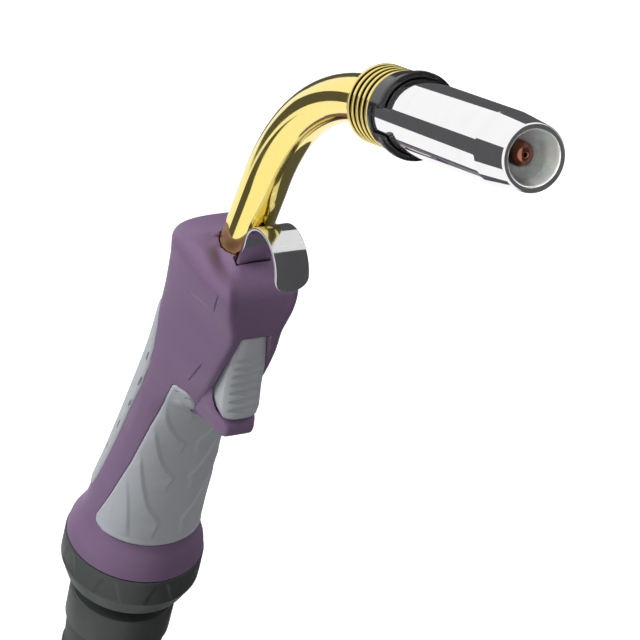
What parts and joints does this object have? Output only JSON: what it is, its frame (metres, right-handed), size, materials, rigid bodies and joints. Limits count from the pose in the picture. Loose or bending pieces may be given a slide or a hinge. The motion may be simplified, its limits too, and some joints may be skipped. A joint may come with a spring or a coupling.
{
  "type": "mig welding torch",
  "caption": "Hand-held MIG welding torch: gas nozzle on a curved neck, two-part handle with soft grips, trigger, hanging hook and a ball joint at the cable end.",
  "frame": {"origin": "inner apex of the hanging hook, the point that rests on a peg", "axes": "+Z along the rear ring's axis towards the neck, +X to the trigger side, +Y to the handle's left half"},
  "size_m": [0.2029, 0.049, 0.388],
  "materials": {
    "nozzle_chrome": "bright plated",
    "insulator_black": "glossy moulded",
    "plain_steel": "satin",
    "tip_copper": "turned copper",
    "turned_brass": "turned",
    "neck_gold": "polished",
    "sleeve_white": "matt",
    "seal_rubber": "matt",
    "shell_purple": "fine moulded grain",
    "grip_rubber": "soft satin",
    "trigger_grey": "satin moulded",
    "switch_black": "moulded",
    "button_red": "moulded",
    "hook_steel": "polished sheet",
    "ring_grey": "moulded",
    "support_rubber": "soft moulded"
  },
  "bodies": {
    "handle": {"handle_shell_right": "shell_purple", "handle_shell_left": "shell_purple", "front_grip_right": "grip_rubber", "front_grip_left": "grip_rubber", "rear_grip_right": "grip_rubber", "rear_grip_left": "grip_rubber", "shell_screw_1": "plain_steel", "shell_screw_2": "plain_steel", "shell_screw_3": "plain_steel", "shell_screw_4": "plain_steel", "neck_collar": "neck_gold", "neck_jacket": "neck_gold", "neck_insulation": "sleeve_white", "neck_conductor": "tip_copper", "wire_liner": "plain_steel", "neck_nut": "turned_brass", "block_oring": "seal_rubber", "torch_block": "turned_brass", "power_tube": "tip_copper", "rear_connector": "turned_brass", "connector_nut": "turned_brass", "nozzle_insulator": "insulator_black", "nozzle_spring": "plain_steel", "contact_tip": "tip_copper", "tip_holder": "turned_brass", "gas_diffuser": "turned_brass", "trigger_pin": "plain_steel", "trigger_spring": "plain_steel", "switch_body": "switch_black", "switch_terminal_a": "turned_brass", "switch_terminal_b": "turned_brass", "switch_wire_a": "switch_black", "switch_wire_b": "button_red", "wire_plug": "sleeve_white", "hanging_hook": "hook_steel", "hook_rivet": "plain_steel", "locking_ring": "ring_grey"},
    "trigger": {"trigger": "trigger_grey"},
    "plunger": {"switch_plunger": "button_red"},
    "nozzle": {"gas_nozzle": "nozzle_chrome"},
    "swivel": {"swivel_race": "ring_grey"},
    "knuckle": {"swivel_knuckle": "ring_grey", "cable_support": "support_rubber"}
  },
  "joints": [
    {"name": "trigger_pivot", "type": "hinge", "parent": "handle", "child": "trigger", "pos_m": [-0.0078, 0, -0.0484], "axis": [0, 1, 0], "range_deg": [0, 5], "stiffness_Nm_per_rad": 0.3, "springref_deg": -8.59, "deforming": ["trigger_spring"]},
    {"name": "plunger_press", "type": "slide", "parent": "handle", "child": "plunger", "axis": [-1, 0, 0], "range_m": [0, 0.0017]},
    {"name": "nozzle_pull", "type": "slide", "parent": "handle", "child": "nozzle", "axis": [0.8746, 0, 0.4848], "range_m": [0, 0.08]},
    {"name": "swivel_turn", "type": "hinge", "parent": "handle", "child": "swivel", "pos_m": [-0.048, 0, -0.1882], "axis": [0, 0, 1], "range_deg": [-180, 180]},
    {"name": "knuckle_tilt", "type": "hinge", "parent": "swivel", "child": "knuckle", "pos_m": [-0.048, 0, -0.1882], "axis": [0, 1, 0], "range_deg": [-15, 15]}
  ],
  "couplings": [
    {"joint": "plunger_press", "follows": "trigger_pivot", "m_per_rad": 0.0193}
  ]
}
